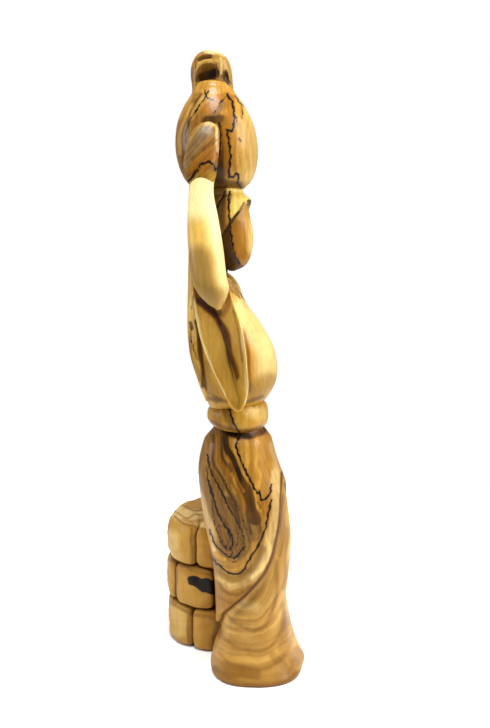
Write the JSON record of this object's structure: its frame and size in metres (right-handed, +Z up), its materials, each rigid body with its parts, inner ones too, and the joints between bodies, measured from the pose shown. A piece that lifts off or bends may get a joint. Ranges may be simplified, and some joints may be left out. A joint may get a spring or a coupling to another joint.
{
  "type": "carved wooden figure",
  "caption": "Olive-wood carving of a faceless robed woman steadying a water jar on her head, standing beside a round stone well.",
  "frame": {"origin": "on the floor, under the middle of the skirt hem", "axes": "+Z up; the figure faces -Y; her right side, with the raised arm, is -X; the well is on +X"},
  "size_m": [0.1292, 0.0874, 0.3429],
  "materials": {
    "olive_jar": "hand-rubbed wax over oiled olive wood",
    "olive_hand": "hand-rubbed wax over oiled olive wood",
    "olive_arm": "hand-rubbed wax over oiled olive wood",
    "olive_scarf": "hand-rubbed wax over oiled olive wood",
    "olive_face": "hand-rubbed wax over oiled olive wood",
    "olive_bodice": "hand-rubbed wax over oiled olive wood",
    "olive_sash": "hand-rubbed wax over oiled olive wood",
    "olive_skirt": "hand-rubbed wax over oiled olive wood",
    "olive_hem": "hand-rubbed wax over oiled olive wood",
    "olive_stone": "hand-rubbed wax over oiled olive wood",
    "olive_core": "hand-rubbed wax over oiled olive wood"
  },
  "bodies": {
    "root": {"jar_body": "olive_jar", "jar_neck": "olive_jar", "jar_handle_front": "olive_jar", "jar_handle_back": "olive_jar", "right_hand": "olive_hand", "right_forearm": "olive_arm", "left_forearm": "olive_arm", "left_hand": "olive_arm", "head_scarf": "olive_scarf", "back_veil": "olive_scarf", "scarf_cowl": "olive_scarf", "head_ring": "olive_scarf", "head": "olive_face", "neck": "olive_face", "bodice": "olive_bodice", "right_sleeve": "olive_bodice", "left_sleeve": "olive_bodice", "waist_sash": "olive_sash", "over_skirt": "olive_skirt", "under_skirt": "olive_hem", "well_stone_1_1": "olive_stone", "well_stone_1_2": "olive_stone", "well_stone_1_3": "olive_stone", "well_stone_1_4": "olive_stone", "well_stone_1_5": "olive_stone", "well_stone_1_6": "olive_stone", "well_stone_1_7": "olive_stone", "well_stone_2_1": "olive_stone", "well_stone_2_2": "olive_stone", "well_stone_2_3": "olive_stone", "well_stone_2_4": "olive_stone", "well_stone_2_5": "olive_stone", "well_stone_2_6": "olive_stone", "well_stone_2_7": "olive_stone", "well_stone_3_1": "olive_stone", "well_stone_3_2": "olive_stone", "well_stone_3_3": "olive_stone", "well_stone_3_4": "olive_stone", "well_stone_3_5": "olive_stone", "well_stone_3_6": "olive_stone", "well_stone_3_7": "olive_stone", "well_core": "olive_core"}
  },
  "joints": []
}
